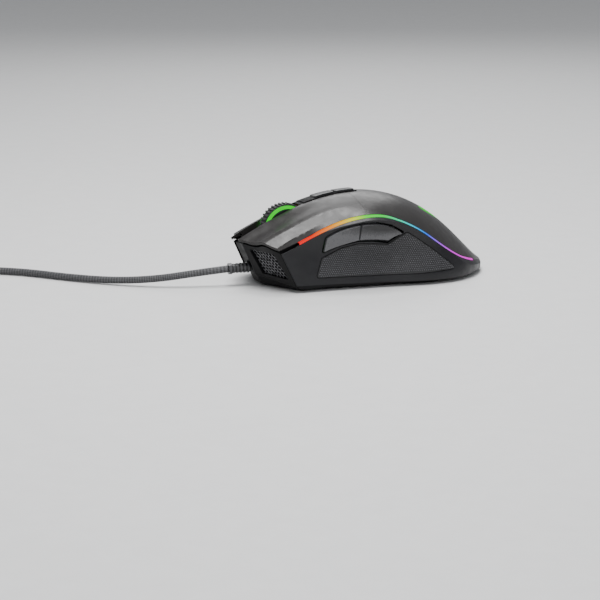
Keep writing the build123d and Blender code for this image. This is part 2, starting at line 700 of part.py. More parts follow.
def wheel_axis(length, radius, x=0.0):
    """Disc or rod on the wheel's axis."""
    return Pos(x, WHEEL_Y, WHEEL_Z) * Rot(0, 90, 0) * Cylinder(radius, length)


def wheel_tyre():
    """Rubber tyre with ribs across the tread."""
    tyre = wheel_axis(2 * WHEEL_HALF, WHEEL_R - 0.6) - wheel_axis(10, 10.0)
    for index in range(RIBS):
        rib = Pos(0, 0, WHEEL_R - 0.7) * Box(2 * WHEEL_HALF, 0.85, 1.4)
        tyre += Pos(0, WHEEL_Y, WHEEL_Z) * Rot(360.0 * index / RIBS, 0, 0) * rib
    tyre &= wheel_axis(20, WHEEL_R)
    return solid_of(tyre)


def wheel_ring(side):
    """Light ring beside the tyre."""
    x = side * (WHEEL_HALF + RING_HALF) / 2
    ring = wheel_axis(RING_HALF - WHEEL_HALF, 11.5, x) - wheel_axis(20, 10.0)
    return solid_of(ring)


def wheel_hub():
    """Hub that carries tyre and light rings, bored for the axle."""
    hub = wheel_axis(2 * RING_HALF, 10.0)
    hub -= wheel_axis(20, 1.5)
    for side in (LEFT, RIGHT):
        hub -= wheel_axis(1.6, 8.2, side * RING_HALF) - wheel_axis(20, 3.2)
    return solid_of(hub)


def wheel_axle():
    """Steel axle fixed in the hub."""
    return wheel_axis(15.0, 1.5)


def tilt_frame():
    """Cradle that the axle turns in; it rocks on two pins along the body."""
    frame = block(-7.0, 7.0, CRADLE_Y0, CRADLE_Y1, 12.8, 16.4)
    frame -= block(-5.0, 5.0, CRADLE_Y0 + 1.6, CRADLE_Y1 - 1.6, 0, 60)
    for side in (LEFT, RIGHT):
        x0, x1 = sorted((side * 5.0, side * 7.0))
        frame += block(x0, x1, WHEEL_Y - 4.0, WHEEL_Y + 4.0, 14.0, WHEEL_Z + 2.4)
    frame -= wheel_axis(40, 1.55)
    frame += rod((0, CRADLE_Y0 - 2.2, PIVOT_Z), (0, CRADLE_Y0 + 0.1, PIVOT_Z), 1.2)
    frame += rod((0, CRADLE_Y1 - 0.1, PIVOT_Z), (0, CRADLE_Y1 + 2.2, PIVOT_Z), 1.2)
    return solid_of(frame)


def wheel_encoder():
    """Encoder on the far side of the tilt frame, driven by the axle."""
    body = block(-11.4, -7.0, WHEEL_Y - 4.0, WHEEL_Y + 4.0, WHEEL_Z - 5.0, WHEEL_Z + 1.8)
    return solid_of(body - wheel_axis(40, 1.6))


def wheel_carrier():
    """Sliding carrier under the wheel; its tail presses the click switch."""
    y0 = CRADLE_Y0 - 2.1
    y1 = CRADLE_Y1 + 2.1
    bar = block(-6.0, 6.0, y0, y1, 9.0, 10.6)
    front = block(-3.0, 3.0, y0, CRADLE_Y0 - 0.3, 9.0, 17.0)
    rear = block(-3.0, 3.0, CRADLE_Y1 + 0.3, y1, 9.0, 17.0)
    tail_z = BOARD_Z + BOARD_T + 4.2 + 0.06
    tail = block(-2.2, 2.2, y1 - 0.2, CLICK_Y + 2.0, 9.0, tail_z + 1.4)
    tail -= block(-3.0, 3.0, CLICK_Y - 4.0, CLICK_Y + 3.0, 0, tail_z)
    carrier = bar + front + rear + tail
    carrier -= rod((0, -60.0, PIVOT_Z), (0, -15.0, PIVOT_Z), 1.27)
    return solid_of(carrier)


# ---------------------------------------------------------------- cable
BOOT_START = Vector(0, -53.6, EXIT_Z)
BOOT_WAY = Vector(-0.13, -0.99, -0.03).normalized()
BOOT_LENGTH = 13.6
CORD_GAP = 0.2
CORD_START = BOOT_START + BOOT_WAY * (BOOT_LENGTH + CORD_GAP)
CORD_ROUTE = [
    (-5.6, -83.0, 7.0), (-13.0, -98.5, 4.2), (-26.0, -115.0, 2.2), (-45.0, -133.0, 1.9),
    (-67.0, -148.5, 1.9), (-80.5, -168.0, 1.9), (-83.5, -179.5, 1.9),
]
COIL_X = -66.0
COIL_Y = -206.0
COIL_OUTER = 29.5
COIL_INNER = 11.5
COIL_HEIGHT = 11.0
EXIT_R = 26.0
EXIT_HEIGHT = 3.9
PLUG_X = -46.0


def strain_relief(body):
    """Ribbed boot at the nose, with a flange behind the nose panel and an end collar."""
    plane = Plane(origin=BOOT_START, z_dir=BOOT_WAY)
    boot = extrude(plane * Circle(2.1), amount=BOOT_LENGTH)
    for index in range(5):
        place = Plane(origin=BOOT_START + BOOT_WAY * (3.6 + 1.75 * index), z_dir=BOOT_WAY)
        boot += extrude(place * Circle(2.62 - 0.08 * index), amount=0.95)
    collar = Plane(origin=BOOT_START + BOOT_WAY * (BOOT_LENGTH - 1.6), z_dir=BOOT_WAY)
    boot += extrude(collar * Circle(2.7), amount=1.6)
    back = body.plan[3.2]
    flange = (back - Pos(0, 1.4, 0) * back) & block(-3.5, 3.5, -62.0, -45.0, EXIT_Z - 2.5, EXIT_Z + 2.5)
    return solid_of((boot - Pos(0, 1.4, 0) * back) + flange)


def cord_path():
    """The cable's run from boot to coil: straight runs joined by the largest tangent arcs."""
    points = [CORD_START] + [Vector(*point) for point in CORD_ROUTE]
    radii = []
    for before, corner, after in zip(points, points[1:], points[2:]):
        turn = math.radians((corner - before).get_angle(after - corner))
        shorter = min((corner - before).length, (after - corner).length)
        radii.append(0.45 * shorter / math.tan(turn / 2))
    print("cable radii in diameters:", [round(radius / CORD_D, 1) for radius in radii])
    return FilletPolyline(*points, radius=radii)


def cable():
    """Braided cable from the boot to the coil."""
    path = cord_path()
    start_way = Vector(*CORD_ROUTE[0]) - CORD_START
    tube = sweep(Plane(origin=CORD_START, z_dir=start_way) * Circle(CORD_D / 2), path=path)
    print("cable run", round(path.length, 1), "mm, volume ratio",
          round(tube.volume / (math.pi * CORD_D ** 2 / 4 * path.length), 4))
    return solid_of(tube)


def cable_tie():
    """Strap round the bundle of turns."""
    middle = (COIL_OUTER + COIL_INNER) / 2
    width = COIL_OUTER - COIL_INNER + 1.6
    strap = Box(width, 9.0, COIL_HEIGHT + 0.8) - Box(width - 1.6, 20.0, COIL_HEIGHT - 0.8)
    strap = Pos(middle, 0, (COIL_HEIGHT + 0.8) / 2) * strap
    return Pos(COIL_X, COIL_Y, 0) * Rot(0, 0, 40) * strap


def cable_coil():
    """Outer shape of the tied coil, with the two ends of cable that leave it."""
    ring = Pos(COIL_X, COIL_Y, COIL_HEIGHT / 2) * (Cylinder(COIL_OUTER, COIL_HEIGHT) - Cylinder(COIL_INNER, 40))
    ring = fillet(ring.edges().filter_by(GeomType.CIRCLE), 3.0)
    last = Vector(*CORD_ROUTE[-1])
    way = (last - Vector(*CORD_ROUTE[-2])).normalized()
    ring += rod(last + way * 0.1, last + way * 12.0, CORD_D / 2)
    exit_y = COIL_Y - EXIT_R
    ring += rod((PLUG_X, exit_y, EXIT_HEIGHT), (COIL_X, exit_y, EXIT_HEIGHT), CORD_D / 2)
    return solid_of(ring - cable_tie())


def usb_plug():
    """Moulded plug body with its own short boot, and the metal shell."""
    exit_y = COIL_Y - EXIT_R
    boot = rod((PLUG_X, exit_y, EXIT_HEIGHT), (PLUG_X + 9.0, exit_y, EXIT_HEIGHT), 2.9)
    grip = block(PLUG_X + 8.5, PLUG_X + 34.0, exit_y - 7.5, exit_y + 7.5, EXIT_HEIGHT - 3.9, EXIT_HEIGHT + 3.9)
    grip = fillet(grip.edges().filter_by(Axis.X), 1.6)
    shell_x = PLUG_X + 34.0
    shell = block(shell_x, shell_x + 12.0, exit_y - 6.0, exit_y + 6.0, EXIT_HEIGHT - 2.25, EXIT_HEIGHT + 2.25)
    shell -= block(shell_x + 1.0, shell_x + 20, exit_y - 5.6, exit_y + 5.6, EXIT_HEIGHT - 1.85, EXIT_HEIGHT + 1.85)
    tongue = block(shell_x + 1.0, shell_x + 11.2, exit_y - 5.5, exit_y + 5.5, EXIT_HEIGHT - 0.2, EXIT_HEIGHT + 1.8)
    return {"usb_plug": solid_of(boot + grip), "usb_shell": solid_of(shell), "usb_tongue": tongue}


# ---------------------------------------------------------------- the whole mouse
def make_parts():
    """Every node of the mouse by name."""
    body = Body()
    parts = {"base_plate": base_plate(body), "palm_shell": palm_shell(body), "centre_spine": centre_spine(body)}
    parts["emblem_lens"] = emblem_lens(body)
    parts["nose_panel"] = nose_panel(body)
    for side, name in ((LEFT, "left"), (RIGHT, "right")):
        parts[f"{name}_side_panel"] = side_panel(body, side)
        parts[f"{name}_grip"] = side_grip(body, side)
        parts[f"{name}_light_strip"] = light_strip(body, side)
        parts[f"{name}_button"] = main_button(body, side)
        parts[f"{name}_bezel"] = bezel(body, side)
        parts[f"{name}_grille"] = grille(body, side)
        parts[f"{name}_switch_plunger"] = switch_plunger(side)
    parts["main_switches"] = Compound([micro_switch(side) for side in (LEFT, RIGHT)])
    for name, y in THUMB_SWITCHES.items():
        parts[f"{name}_button"] = thumb_button(body, name == "front_thumb")
        parts[f"{name}_plunger"] = thumb_plunger(y)
    parts["thumb_switches"] = Compound([thumb_switch(y) for y in THUMB_SWITCHES.values()])
    for name, span in DPI_SPANS.items():
        parts[name] = dpi_button(body, span)
        parts[name.replace("button", "plunger")] = dpi_plunger(span)
    parts["dpi_switches"] = Compound([dpi_switch(span) for span in DPI_SPANS.values()])
    parts["case_screws"] = case_screws()
    parts["board_screws"] = board_screws()
    parts["main_board"] = main_board()
    parts["front_board"] = front_board()
    parts["light_shield"] = light_shield()
    parts["thumb_board"] = thumb_board()
    parts["top_board"] = top_board()
    parts["wheel_click_switch"] = click_switch()
    parts["wheel_click_plunger"] = click_plunger()
    parts["wheel_tyre"] = wheel_tyre()
    parts["wheel_light_rings"] = Compound([wheel_ring(side) for side in (LEFT, RIGHT)])
    parts["wheel_hub"] = wheel_hub()
    parts["wheel_axle"] = wheel_axle()
    parts["wheel_tilt_frame"] = tilt_frame()
    parts["wheel_encoder"] = wheel_encoder()
    parts["wheel_carrier"] = wheel_carrier()
    parts["strain_relief"] = strain_relief(body)
    parts["cable"] = cable()
    parts["cable_coil"] = cable_coil()
    parts["cable_tie"] = cable_tie()
    for group in (feet(), sensor_parts(), board_chips(), usb_plug()):
        parts.update(group)
    return parts


if __name__ == "__main__":
    os.makedirs("parts", exist_ok=True)
    for name, shape in make_parts().items():
        export_step(shape, f"parts/{name}.step")
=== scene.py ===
import json
import math
import bpy
import bmesh
from mathutils import Matrix, Vector
from mathutils.bvhtree import BVHTree


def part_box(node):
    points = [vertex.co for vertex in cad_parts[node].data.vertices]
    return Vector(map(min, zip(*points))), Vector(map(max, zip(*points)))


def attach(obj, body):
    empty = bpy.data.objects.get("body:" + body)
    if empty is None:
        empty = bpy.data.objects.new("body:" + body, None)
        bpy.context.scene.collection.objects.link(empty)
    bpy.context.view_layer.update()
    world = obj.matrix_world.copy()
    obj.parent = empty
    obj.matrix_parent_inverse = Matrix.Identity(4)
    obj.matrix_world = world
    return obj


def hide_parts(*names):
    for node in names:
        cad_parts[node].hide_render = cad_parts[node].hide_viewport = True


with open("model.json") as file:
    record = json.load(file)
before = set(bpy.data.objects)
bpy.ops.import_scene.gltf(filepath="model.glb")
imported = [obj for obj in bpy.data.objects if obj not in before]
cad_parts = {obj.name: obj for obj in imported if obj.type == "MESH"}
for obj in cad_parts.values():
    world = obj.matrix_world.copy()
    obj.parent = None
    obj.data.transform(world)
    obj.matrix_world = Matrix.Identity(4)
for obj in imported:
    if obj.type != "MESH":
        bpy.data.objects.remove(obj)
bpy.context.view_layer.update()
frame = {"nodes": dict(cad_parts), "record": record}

NODES = frame["nodes"]
SLOT_OF = {part["node"]: part["material_slot"] for part in frame["record"]["subparts"]}
BODIES = frame["record"]["behaviour"]["bodies"]
BODY_OF = {node: body for body, members in BODIES.items() for node in members}
MM = 0.001


# ---------------------------------------------------------------- camera
CAMERA_AT = (1.017108, -0.483282, 0.229215)
CAMERA_LOOK = (-0.89326, 0.39771, -0.20962)
CAMERA_RIGHT = (0.40674, 0.91355, 0.0)
LENS = 141.3
SENSOR = 36.0


def make_camera():
    """Long lens, low over the nose corner on the thumb side."""
    look = Vector(CAMERA_LOOK).normalized()
    right = Vector(CAMERA_RIGHT).normalized()
    up = right.cross(look)
    camera = bpy.data.objects.new("camera", bpy.data.cameras.new("camera"))
    camera.data.lens = LENS
    camera.data.sensor_width = SENSOR
    camera.data.clip_start = 0.05
    turn = Matrix((right, up, -look)).transposed().to_4x4()
    camera.matrix_world = Matrix.Translation(CAMERA_AT) @ turn
    bpy.context.scene.collection.objects.link(camera)
    bpy.context.scene.camera = camera


# ---------------------------------------------------------------- cable
# Sizes and places of the cable are in mm, as in the CAD.
CORD_D = 3.5
CORD_START = (-1.795, -67.27, 8.58)
CORD_ROUTE = [
    (-5.6, -83.0, 7.0), (-13.0, -98.5, 4.2), (-26.0, -115.0, 2.2), (-45.0, -133.0, 1.9),
    (-67.0, -148.5, 1.9), (-80.5, -168.0, 1.9), (-83.5, -179.5, 1.9),
]
COIL = (-66.0, -206.0)
COIL_EXIT = [(-62.0, -232.0, 3.9), (-54.0, -232.0, 3.9)]
CORD_END = (-46.2, -232.0, 3.9)
# The turns of the coil in winding order, as radius and height: a bundle three layers high.
TURNS = [
    (24.0, 1.9), (27.4, 1.9), (27.3, 5.4), (23.9, 5.3), (20.5, 1.9), (17.0, 1.9), (13.6, 1.9), (13.7, 5.4),
    (13.7, 8.8), (17.1, 8.9), (17.1, 5.4), (20.5, 5.4), (20.6, 8.9), (24.0, 8.8), (27.3, 8.9),
]
LEAVING = (26.0, 3.9)
TURN_STEPS = 14
FIRST_ANGLE = 165.0
LAST_ANGLE = 270.0
# Degrees into a turn at which it starts to ease towards the next one, and how long that takes.
EASE = (285.0, 75.0)
LAST_EASE = (300.0, 150.0)
LOWEST = 1.85


def sway(size, turn, per_turn, swept, per_degree):
    """Small unevenness of the winding."""
    return size * math.sin(per_turn * turn + swept * per_degree)


def coil_points():
    """Turn after turn of the coil; each point eases from its own turn's place to the next one's."""
    points = []
    last = len(TURNS) - 1
    total = len(TURNS) * 360.0 + LAST_ANGLE - FIRST_ANGLE
    steps = int(total / 360.0 * TURN_STEPS)
    for step in range(1, steps):
        swept = total * step / steps
        turn = min(int(swept // 360.0), last)
        here = TURNS[turn]
        there = TURNS[turn + 1] if turn < last else LEAVING
        start, span = EASE if turn < last else LAST_EASE
        share = max(0.0, min(1.0, (swept - 360.0 * turn - start) / span))
        radius = here[0] + (there[0] - here[0]) * share + sway(0.18, turn, 2.3, swept, 0.035)
        height = here[1] + (there[1] - here[1]) * share + sway(0.12, turn, 1.7, swept, 0.05)
        angle = math.radians(FIRST_ANGLE + swept)
        x = COIL[0] + radius * math.cos(angle)
        y = COIL[1] + radius * math.sin(angle)
        points.append((x, y, max(LOWEST, height)))
    return points


def make_cord():
    """The whole cable as one smooth line with its real length; each point's radius holds its width."""
    points = [CORD_START] + CORD_ROUTE + coil_points() + COIL_EXIT + [CORD_END]
    curve = bpy.data.curves.new("cord", "CURVE")
    curve.dimensions = "3D"
    spline = curve.splines.new("NURBS")
    spline.points.add(len(points) - 1)
    for target, point in zip(spline.points, points):
        target.co = (point[0] * MM, point[1] * MM, point[2] * MM, 1.0)
        target.radius = CORD_D / 2 * MM
    spline.order_u = 3
    spline.use_endpoint_u = True
    spline.resolution_u = 5
    curve.bevel_depth = 1.0
    curve.bevel_resolution = 4
    cord = bpy.data.objects.new("cord", curve)
    bpy.context.scene.collection.objects.link(cord)
    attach(cord, BODY_OF["cable"])
    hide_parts("cable", "cable_coil")
    return cord


# ---------------------------------------------------------------- materials
class Nodes:
    """Small helper that builds one material's node tree."""

    def __init__(self, name):
        self.name = name
        self.material = bpy.data.materials.new(name)
        self.material.use_nodes = True
        self.tree = self.material.node_tree
        self.shader = self.tree.nodes["Principled BSDF"]
        self.coordinates = self.add("ShaderNodeTexCoord").outputs
        self.place = self.coordinates["Object"]

    def add(self, kind, **inputs):
        node = self.tree.nodes.new(kind)
        for key, value in inputs.items():
            node.inputs[key].default_value = value
        return node

    def link(self, start, end):
        self.tree.links.new(start, end)

    def axes(self, kind):
        """X, Y and Z of one kind of coordinates."""
        node = self.add("ShaderNodeSeparateXYZ")
        self.link(self.coordinates[kind], node.inputs[0])
        return node.outputs

    def noise(self, scale, detail=3.0):
        node = self.add("ShaderNodeTexNoise", Scale=scale, Detail=detail, Roughness=0.55)
        self.link(self.place, node.inputs["Vector"])
        return node.outputs["Fac"]

    def spread(self, value, low, high, source=(0.35, 0.65)):
        node = self.add("ShaderNodeMapRange")
        node.inputs["From Min"].default_value = source[0]
        node.inputs["From Max"].default_value = source[1]
        node.inputs["To Min"].default_value = low
        node.inputs["To Max"].default_value = high
        self.link(value, node.inputs["Value"])
        return node.outputs["Result"]

    def math(self, operation, first, second=None, number=None):
        node = self.add("ShaderNodeMath")
        node.operation = operation
        self.link(first, node.inputs[0])
        if second is not None:
            self.link(second, node.inputs[1])
        if number is not None:
            node.inputs[1].default_value = number
        return node.outputs[0]

    def ramp(self, value, stops):
        node = self.add("ShaderNodeValToRGB")
        elements = node.color_ramp.elements
        while len(elements) < len(stops):
            elements.new(0.5)
        for element, (position, colour) in zip(elements, stops):
            element.position = position
            element.color = (*colour, 1.0)
        self.link(value, node.inputs["Fac"])
        return node.outputs["Color"]

    def paint(self, value, stops):
        """Base colour that follows a value."""
        self.link(self.ramp(value, stops), self.shader.inputs["Base Color"])

    def bump(self, height, strength, distance, below=None):
        node = self.add("ShaderNodeBump", Strength=strength, Distance=distance)
        self.link(height, node.inputs["Height"])
        if below is not None:
            self.link(below, node.inputs["Normal"])
        return node.outputs["Normal"]


def shade(colour, factor):
    """The colour made lighter or darker."""
    return tuple(min(1.0, value * factor) for value in colour)


def surface(name, colour, rough, grain=1800.0, strength=0.15, spread=0.15, metal=0.0, radius=0.15,
            specular=0.5):
    """General finish: mottled colour, uneven gloss, fine surface grain and softened edges."""
    kit = Nodes(name)
    kit.paint(kit.noise(90.0, 5.0), [(0.3, shade(colour, 1.0 - spread)), (0.7, shade(colour, 1.0 + spread))])
    kit.link(kit.spread(kit.noise(260.0, 4.0), rough * (1 - spread), min(1.0, rough * (1 + spread))),
             kit.shader.inputs["Roughness"])
    edge = kit.add("ShaderNodeBevel", Radius=radius * MM)
    edge.samples = 6
    kit.link(kit.bump(kit.noise(grain, 2.0), strength, 0.00004, edge.outputs["Normal"]),
             kit.shader.inputs["Normal"])
    kit.shader.inputs["Metallic"].default_value = metal
    kit.shader.inputs["Specular IOR Level"].default_value = specular
    return kit


GREEN = (0.01, 0.80, 0.01)


def light_guide(name, colour):
    """Dark plastic that shines in one colour; the caller links how strongly."""
    kit = surface(name, (0.004, 0.004, 0.004), 0.5, grain=900.0, specular=0.1)
    kit.shader.inputs["Emission Color"].default_value = (*colour, 1.0)
    return kit


def green_glow():
    """Evenly lit ring, a little brighter and dimmer along its length."""
    kit = light_guide("green_light", GREEN)
    kit.link(kit.spread(kit.noise(70.0, 2.0), 0.85, 1.15), kit.shader.inputs["Emission Strength"])
    return kit


def emblem_glow():
    """Emblem window, lit on its outer face only."""
    kit = light_guide("emblem_light", GREEN)
    upward = kit.axes("Normal")["Z"]
    kit.link(kit.spread(upward, 0.0, 1.0, (0.1, 0.3)), kit.shader.inputs["Emission Strength"])
    return kit


STRIP_ENDS = (-0.0422, 0.0522)
RAINBOW = [
    (0.00, (1.0, 0.005, 0.01)), (0.07, (1.0, 0.03, 0.0)), (0.14, (1.0, 0.20, 0.0)),
    (0.23, (1.0, 0.55, 0.0)), (0.29, (0.75, 0.85, 0.0)), (0.35, (0.06, 0.90, 0.0)),
    (0.45, (0.0, 0.85, 0.06)), (0.53, (0.0, 0.80, 0.40)), (0.60, (0.0, 0.60, 0.85)),
    (0.68, (0.02, 0.16, 1.0)), (0.75, (0.40, 0.10, 1.0)), (0.83, (0.85, 0.03, 0.95)),
    (1.00, (1.0, 0.005, 0.80)),
]


def strip_glow():
    """Light strip, lit outwards, whose colour runs through the spectrum from nose to tail."""
    kit = light_guide("strip_light", (1, 1, 1))
    place = kit.axes("Object")
    facing = kit.axes("Normal")
    along = kit.spread(place["Y"], 0.0, 1.0, STRIP_ENDS)
    kit.link(kit.ramp(along, RAINBOW), kit.shader.inputs["Emission Color"])
    sideways = kit.math("MULTIPLY", kit.math("SIGN", place["X"]), facing["X"])
    outward = kit.spread(kit.math("ADD", sideways, facing["Z"]), 0.0, 1.2, (0.1, 0.4))
    kit.link(outward, kit.shader.inputs["Emission Strength"])
    return kit


CORD_LENGTH = 2100.0
BRAID_PITCH = 1.1
BRAID_STRANDS = 8.0


def braid():
    """Woven sleeve: two sets of crossing threads round the cable."""
    kit = surface("cord_braid", (0.022, 0.022, 0.024), 0.55, grain=4000.0, strength=0.3)
    uv = kit.axes("UV")
    along = kit.math("MULTIPLY", uv["X"], number=CORD_LENGTH / BRAID_PITCH)
    waves = []
    for way in (1.0, -1.0):
        around = kit.math("MULTIPLY", uv["Y"], number=way * BRAID_STRANDS)
        turn = kit.math("MULTIPLY", kit.math("ADD", along, around), number=2 * math.pi)
        waves.append(kit.math("SINE", turn))
    level = kit.spread(kit.math("MULTIPLY", *waves), 0.0, 1.0, (-1.0, 1.0))
    # Painted shade and highlight: the weave is darker in its hollows and lighter on its crests.
    kit.paint(level, [(0.2, (0.012, 0.012, 0.013)), (0.8, (0.075, 0.075, 0.08))])
    kit.link(kit.bump(level, 0.9, 0.0003), kit.shader.inputs["Normal"])
    return kit


def thumb_grain_and_painted_shade():
    """Grained grey face with a smooth chamfer below it, painted dark as shade where it faces down."""
    kit = surface("thumb_grey", (0.075, 0.075, 0.079), 0.42, grain=1500.0, strength=0.9, radius=0.3)
    # Painted shade: faces that turn downwards, the chamfer, are painted near black.
    painted_shade_mask = kit.spread(kit.axes("Normal")["Z"], 0.0, 1.0, (-0.42, -0.30))
    speckle = kit.spread(kit.noise(1500.0), 0.7, 1.45)
    stops = [(0.0, (0.006, 0.006, 0.007)), (1.0, (0.085, 0.085, 0.090))]
    kit.paint(kit.math("MULTIPLY", painted_shade_mask, speckle), stops)
    return kit


# The boot's axis, its first rib and the end collar, the last counted in ribs from the first.
BOOT_START = Vector((0.0, -53.6, 9.0))
BOOT_WAY = Vector((-0.13, -0.99, -0.03)).normalized()
FIRST_RIB = BOOT_START.dot(BOOT_WAY) + 3.6
RIB_PITCH = 1.75
COLLAR = 5.2


def boot_ribs_painted_shade_and_highlight():
    """Ribbed rubber, painted paler on the ribs as highlight and near black in the grooves between them as
    shade.
    """
    kit = surface("boot_rubber", (0.01, 0.01, 0.011), 0.3, strength=0.2)
    along = kit.add("ShaderNodeVectorMath")
    along.operation = "DOT_PRODUCT"
    kit.link(kit.place, along.inputs[0])
    along.inputs[1].default_value = BOOT_WAY / (RIB_PITCH * MM)
    ribs = kit.math("SUBTRACT", along.outputs["Value"], number=FIRST_RIB / RIB_PITCH)
    painted_rib_shading = kit.math("FRACT", kit.math("MINIMUM", ribs, number=COLLAR))
    # Painted highlight on the ribs and painted shade in the grooves, which are near black.
    stops = [(0.0, (0.045, 0.045, 0.048)), (0.50, (0.035, 0.035, 0.038)), (0.56, (0.0004, 0.0004, 0.0004))]
    kit.paint(painted_rib_shading, stops)
    return kit


def lattice_with_painted_glints():
    """Moulded struts with painted glints, lighter and darker unevenly from cell to cell."""
    kit = surface("mesh_lattice", (0.05, 0.05, 0.052), 0.25)
    # Painted glints: spots of light colour at random over the struts.
    kit.paint(kit.noise(1900.0, 2.0), [(0.38, (0.03, 0.03, 0.032)), (0.62, (0.20, 0.20, 0.21))])
    return kit


def clear_lens():
    """Clear moulded lens, faintly clouded."""
    kit = surface("lens_clear", (0.8, 0.85, 0.85), 0.08)
    kit.shader.inputs["Transmission Weight"].default_value = 0.9
    return kit


PLAIN_FINISHES = {
    "soft_black": dict(colour=(0.0150, 0.0135, 0.0130), rough=0.35, grain=2600.0, strength=0.22,
                       radius=0.25, specular=0.38),
    "side_black": dict(colour=(0.009, 0.009, 0.0105), rough=0.42, grain=2600.0, strength=0.22,
                       radius=0.25, specular=0.32),
    "base_black": dict(colour=(0.004, 0.004, 0.0045), rough=0.5, grain=1500.0, strength=0.4, specular=0.2),
    "gloss_black": dict(colour=(0.003, 0.003, 0.0034), rough=0.14, strength=0.03, radius=0.3,
                        specular=0.15),
    "satin_black": dict(colour=(0.003, 0.003, 0.0034), rough=0.5, strength=0.1, specular=0.08),
    "key_gloss": dict(colour=(0.020, 0.020, 0.021), rough=0.34, strength=0.05, radius=0.35, specular=0.35),
    "grip_dots": dict(colour=(0.056, 0.056, 0.062), rough=0.36, grain=3000.0, strength=0.2),
    "grip_rubber": dict(colour=(0.010, 0.010, 0.011), rough=0.62, grain=3000.0, strength=0.5),
    # Painted shade: near black and barely reflecting, the grille panel under the struts stands for the
    # shaded openings of the mesh.
    "mesh_black": dict(colour=(0.002, 0.002, 0.0024), rough=0.5, specular=0.05),
    "wheel_rubber": dict(colour=(0.020, 0.020, 0.021), rough=0.6, grain=2500.0, strength=0.5),
    "hub_plastic": dict(colour=(0.015, 0.015, 0.016), rough=0.3),
    "tie_fabric": dict(colour=(0.02, 0.02, 0.02), rough=0.9, grain=3500.0, strength=1.0),
    "plug_plastic": dict(colour=(0.018, 0.018, 0.019), rough=0.35),
    "plug_tongue": dict(colour=(0.05, 0.32, 0.06), rough=0.4),
    "steel": dict(colour=(0.62, 0.62, 0.60), rough=0.22, metal=1.0),
    "screw_black": dict(colour=(0.08, 0.08, 0.08), rough=0.35, metal=1.0),
    "foot_white": dict(colour=(0.62, 0.62, 0.60), rough=0.35),
    "board_black": dict(colour=(0.012, 0.05, 0.025), rough=0.4, grain=900.0),
    "chip_black": dict(colour=(0.015, 0.015, 0.016), rough=0.45),
    "switch_black": dict(colour=(0.018, 0.018, 0.02), rough=0.4),
    "switch_white": dict(colour=(0.7, 0.7, 0.66), rough=0.4),
    "plunger_green": dict(colour=(0.05, 0.4, 0.12), rough=0.4),
    "carrier_plastic": dict(colour=(0.05, 0.05, 0.052), rough=0.5),
}


def make_materials():
    """Every finish by its name."""
    kits = [surface(name, **finish) for name, finish in PLAIN_FINISHES.items()]
    kits += [thumb_grain_and_painted_shade(), lattice_with_painted_glints(), boot_ribs_painted_shade_and_highlight(), clear_lens(), braid()]
    kits += [emblem_glow(), green_glow(), strip_glow()]
    return {kit.name: kit.material for kit in kits}


# ---------------------------------------------------------------- CAD nodes' finish
# Nodes whose finish differs from the rest of their material slot.
OWN_FINISH = {
    "centre_spine": "satin_black", "nose_panel": "satin_black", "emblem_lens": "emblem_light",
    "palm_light": "switch_white",
}
WELD = 0.000002
SHARP = math.radians(24)


def dress(node, material):
    """Gives a CAD node its material and smooth shading that keeps its sharp edges."""
    obj = NODES[node]
    obj.data.materials.clear()
    obj.data.materials.append(material)
    weld = obj.modifiers.new("weld", "WELD")
    weld.merge_threshold = WELD
    obj.data.polygons.foreach_set("use_smooth", [True] * len(obj.data.polygons))
    split = obj.modifiers.new("split", "EDGE_SPLIT")
    split.split_angle = SHARP
    weighted = obj.modifiers.new("weighted", "WEIGHTED_NORMAL")
    weighted.keep_sharp = True


# ---------------------------------------------------------------- surface detail
def hits(node):
    """Ray tester for a CAD node's welded mesh."""
    mesh = bmesh.new()
    mesh.from_mesh(NODES[node].data)
    bmesh.ops.remove_doubles(mesh, verts=mesh.verts, dist=WELD)
    tree = BVHTree.FromBMesh(mesh)
    mesh.free()
    return tree


def new_piece(name, verts, faces, material, node, smooth=False):
    """Links a piece that rides with a CAD node's body and takes the material it is given."""
    mesh = bpy.data.meshes.new(name)
    mesh.from_pydata(verts, [], faces)
    mesh.polygons.foreach_set("use_smooth", [smooth] * len(mesh.polygons))
    obj = bpy.data.objects.new(name, mesh)
    obj.data.materials.append(material)
    bpy.context.scene.collection.objects.link(obj)
    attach(obj, BODY_OF[node])


def add_tube(verts, faces, ends):
    """Joins two rings of points, one at either end, with a band of faces."""
    first = len(verts)
    sides = len(ends[0])
    verts += ends[0] + ends[1]
    for index in range(sides):
        after = (index + 1) % sides
        faces.append((first + index, first + after, first + sides + after, first + sides + index))


DOT_SIDES = 6
DOT_TOP = 0.62
DOT_RADIUS = 0.42 * MM
DOT_HEIGHT = 0.16 * MM
DOT_SINK = 0.1 * MM
DOT_PITCH = 1.05 * MM
DOT_ROW = 0.866
DOT_MARGIN = 0.5 * MM
DOT_STEP = 0.6 * MM


def add_dot(verts, faces, spot, normal):
    """Small raised six-sided pip that stands on the surface."""
    side = normal.cross(Vector((0, 0, 1))).normalized()
    other = normal.cross(side)
    ends = []
    for lift, size in ((-DOT_SINK, 1.0), (DOT_HEIGHT, DOT_TOP)):
        ring = []
        for index in range(DOT_SIDES):
            angle = 2 * math.pi * (index + 0.5) / DOT_SIDES
            reach = side * math.cos(angle) + other * math.sin(angle)
            ring.append(spot + normal * lift + reach * DOT_RADIUS * size)
        ends.append(ring)
    add_tube(verts, faces, ends)
    faces.append(tuple(range(len(verts) - DOT_SIDES, len(verts))))


